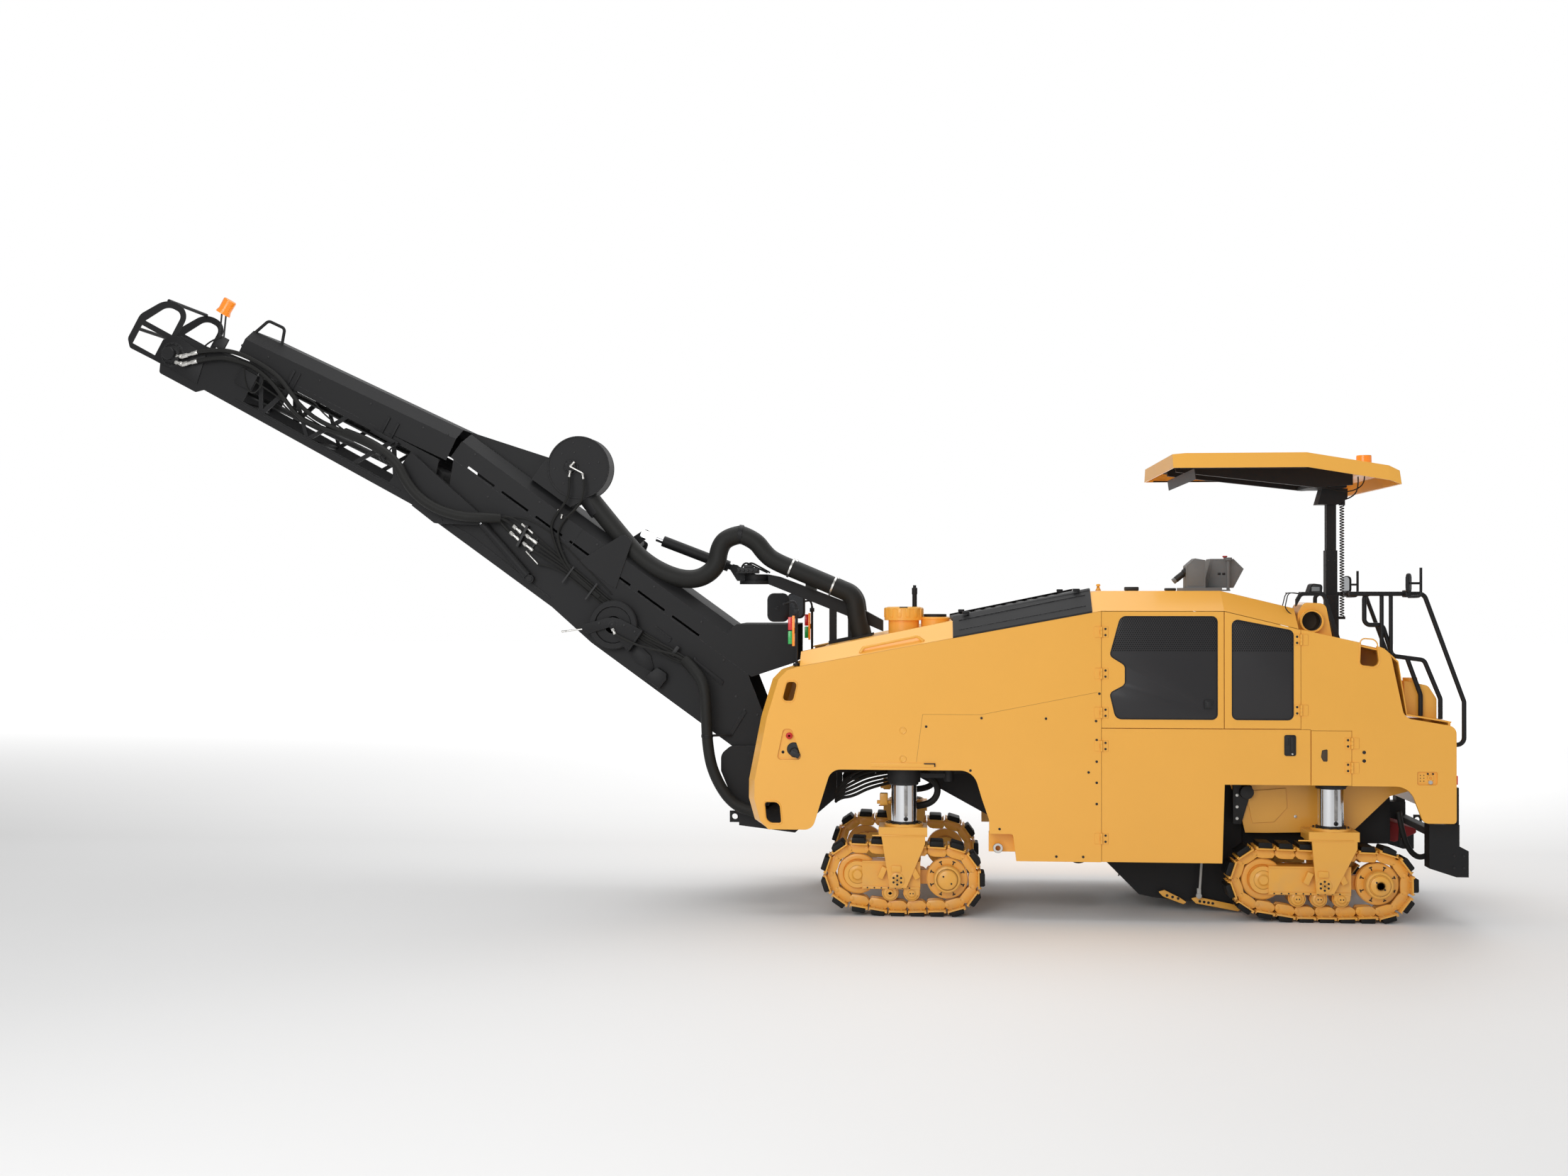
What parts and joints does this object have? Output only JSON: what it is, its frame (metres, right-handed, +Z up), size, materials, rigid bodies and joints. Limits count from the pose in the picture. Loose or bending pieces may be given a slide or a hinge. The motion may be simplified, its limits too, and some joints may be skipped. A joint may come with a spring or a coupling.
{
  "type": "cold planer",
  "caption": "Compact pavement milling machine on tracks, with a central cutting rotor, an operator's platform under a canopy and a two-part front loading conveyor.",
  "frame": {"origin": "on the ground under the cutting rotor's axis, in the machine's centre plane", "axes": "+X towards the rear, -X towards the conveyor's tip, +Z up, -Y is the machine's left side"},
  "size_m": [11.902, 2.206, 5.5005],
  "materials": {
    "body_paint": "gloss paint",
    "gear_paint": "gloss paint on castings",
    "dark_paint": "satin powder coat",
    "rail_paint": "textured powder coat",
    "canopy_shell": "moulded, gloss",
    "belt_rubber": "ribbed belt",
    "hose_rubber": "satin hose",
    "machine_steel": "worn steel",
    "engine_iron": "painted casting",
    "track_steel": "painted steel shoes with black pads",
    "amber_lens": "clear amber",
    "door_glazing": "gloss paint round a dark mesh window",
    "chrome_rod": "ground chrome",
    "console_plastic": "grained plastic"
  },
  "bodies": {
    "machine": {"air_intake": "body_paint", "arch_liners": "body_paint", "body_roof": "body_paint", "canopy_mast": "dark_paint", "chassis_frame": "dark_paint", "console": "console_plastic", "curly_cord": "hose_rubber", "engine_block": "engine_iron", "gooseneck": "dark_paint", "handrails": "rail_paint", "hood_grille": "dark_paint", "mirrors_and_lamps": "rail_paint", "nose_frame": "dark_paint", "operator_station": "body_paint", "primary_conveyor": "dark_paint", "rear_step": "dark_paint", "rear_tank": "body_paint", "rotor_housing": "dark_paint", "side_panel_left": "body_paint", "side_panel_right": "body_paint", "side_plates": "dark_paint", "suction_duct": "hose_rubber"},
    "rotor": {"rotor": "machine_steel"},
    "corner_front_left": {"leg_front_left": "gear_paint", "track_frame_front_left": "gear_paint", "track_front_left": "track_steel"},
    "corner_front_right": {"leg_front_right": "gear_paint", "track_frame_front_right": "gear_paint", "track_front_right": "track_steel"},
    "corner_rear_left": {"leg_rear_left": "gear_paint", "track_frame_rear_left": "gear_paint", "track_rear_left": "track_steel"},
    "corner_rear_right": {"leg_rear_right": "gear_paint", "track_frame_rear_right": "gear_paint", "track_rear_right": "track_steel"},
    "conveyor_slew": {"slew_yoke": "dark_paint"},
    "conveyor_lower": {"lower_frame": "dark_paint", "lower_belt": "belt_rubber", "lower_cover": "dark_paint", "dust_fan": "dark_paint"},
    "conveyor_upper": {"upper_frame": "dark_paint", "upper_belt": "belt_rubber", "upper_cover": "dark_paint", "conveyor_beacon": "amber_lens"},
    "lift_barrel": {"lift_barrel": "dark_paint"},
    "lift_rod": {"lift_rod": "chrome_rod"},
    "fold_barrels": {"fold_barrels": "dark_paint"},
    "fold_rods": {"fold_rods": "chrome_rod"},
    "canopy": {"canopy": "canopy_shell", "canopy_frame": "dark_paint"},
    "engine_door_front_left": {"engine_door_front_left": "door_glazing"},
    "engine_door_front_right": {"engine_door_front_right": "door_glazing"},
    "engine_door_rear_left": {"engine_door_rear_left": "door_glazing"},
    "engine_door_rear_right": {"engine_door_rear_right": "door_glazing"},
    "service_door_left": {"service_door_left": "body_paint"},
    "service_door_right": {"service_door_right": "body_paint"},
    "small_door_left": {"small_door_left": "body_paint"},
    "small_door_right": {"small_door_right": "body_paint"}
  },
  "joints": [
    {"name": "rotor_spin", "type": "hinge", "parent": "machine", "child": "rotor", "pos_m": [0, 0, 0.6], "axis": [0, 1, 0], "continuous": true},
    {"name": "steer_front_left", "type": "hinge", "parent": "machine", "child": "corner_front_left", "pos_m": [-2.23, -0.875, 0], "axis": [0, 0, 1], "range_deg": [-20, 20]},
    {"name": "steer_front_right", "type": "hinge", "parent": "machine", "child": "corner_front_right", "pos_m": [-2.23, 0.875, 0], "axis": [0, 0, 1], "range_deg": [-20, 20]},
    {"name": "steer_rear_left", "type": "hinge", "parent": "machine", "child": "corner_rear_left", "pos_m": [1.368, -0.875, 0], "axis": [0, 0, 1], "range_deg": [-12, 12]},
    {"name": "steer_rear_right", "type": "hinge", "parent": "machine", "child": "corner_rear_right", "pos_m": [1.368, 0.875, 0], "axis": [0, 0, 1], "range_deg": [-12, 12]},
    {"name": "conveyor_swing", "type": "hinge", "parent": "machine", "child": "conveyor_slew", "pos_m": [-3.6, 0, 0], "axis": [0, 0, 1], "range_deg": [-50, 50]},
    {"name": "conveyor_lift", "type": "hinge", "parent": "conveyor_slew", "child": "conveyor_lower", "pos_m": [-3.6, 0, 1.33], "axis": [0, 1, 0], "range_deg": [-20, 2]},
    {"name": "conveyor_fold", "type": "hinge", "parent": "conveyor_lower", "child": "conveyor_upper", "pos_m": [-6.42051, 0, 3.4197], "axis": [0, 1, 0], "range_deg": [-120, 0]},
    {"name": "lift_barrel_tilt", "type": "hinge", "parent": "conveyor_slew", "child": "lift_barrel", "pos_m": [-3.79, 0, 2.991], "axis": [0, 1, 0], "range_deg": [-29, 3]},
    {"name": "lift_rod_slide", "type": "slide", "parent": "lift_barrel", "child": "lift_rod", "axis": [-0.9334, 0, 0.3587], "range_m": [-0.057, 0.563]},
    {"name": "fold_barrel_tilt", "type": "hinge", "parent": "conveyor_lower", "child": "fold_barrels", "pos_m": [-5.60161, 0, 2.8969], "axis": [0, 1, 0], "range_deg": [-10, 1]},
    {"name": "fold_rod_slide", "type": "slide", "parent": "fold_barrels", "child": "fold_rods", "axis": [-0.6611, 0, 0.7503], "range_m": [0, 0.59]},
    {"name": "canopy_height", "type": "slide", "parent": "machine", "child": "canopy", "axis": [0, 0, 1], "range_m": [-0.4, 0], "deforming": ["curly_cord"]},
    {"name": "engine_door_front_left_open", "type": "hinge", "parent": "machine", "child": "engine_door_front_left", "pos_m": [-0.568, -1.092, 0], "axis": [0, 0, 1], "range_deg": [-100, 0]},
    {"name": "engine_door_rear_left_open", "type": "hinge", "parent": "machine", "child": "engine_door_rear_left", "pos_m": [1.08, -1.092, 0], "axis": [0, 0, 1], "range_deg": [0, 100]},
    {"name": "service_door_left_open", "type": "hinge", "parent": "machine", "child": "service_door_left", "pos_m": [-0.568, -1.092, 0], "axis": [0, 0, 1], "range_deg": [-100, 0]},
    {"name": "small_door_left_open", "type": "hinge", "parent": "machine", "child": "small_door_left", "pos_m": [1.494, -1.092, 0], "axis": [0, 0, 1], "range_deg": [0, 100]},
    {"name": "engine_door_front_right_open", "type": "hinge", "parent": "machine", "child": "engine_door_front_right", "pos_m": [-0.568, 1.092, 0], "axis": [0, 0, 1], "range_deg": [0, 100]},
    {"name": "engine_door_rear_right_open", "type": "hinge", "parent": "machine", "child": "engine_door_rear_right", "pos_m": [1.08, 1.092, 0], "axis": [0, 0, 1], "range_deg": [-100, 0]},
    {"name": "service_door_right_open", "type": "hinge", "parent": "machine", "child": "service_door_right", "pos_m": [-0.568, 1.092, 0], "axis": [0, 0, 1], "range_deg": [0, 100]},
    {"name": "small_door_right_open", "type": "hinge", "parent": "machine", "child": "small_door_right", "pos_m": [1.494, 1.092, 0], "axis": [0, 0, 1], "range_deg": [-100, 0]}
  ],
  "couplings": [
    {"joint": "steer_front_right", "follows": "steer_front_left", "ratio": 1},
    {"joint": "steer_rear_right", "follows": "steer_rear_left", "ratio": 1},
    {"joint": "lift_barrel_tilt", "follows": "conveyor_lift", "ratio": 1.42},
    {"joint": "lift_rod_slide", "follows": "conveyor_lift", "m_per_rad": -1.604},
    {"joint": "fold_barrel_tilt", "follows": "conveyor_fold", "ratio": 0.04},
    {"joint": "fold_rod_slide", "follows": "conveyor_fold", "m_per_rad": -0.28}
  ]
}
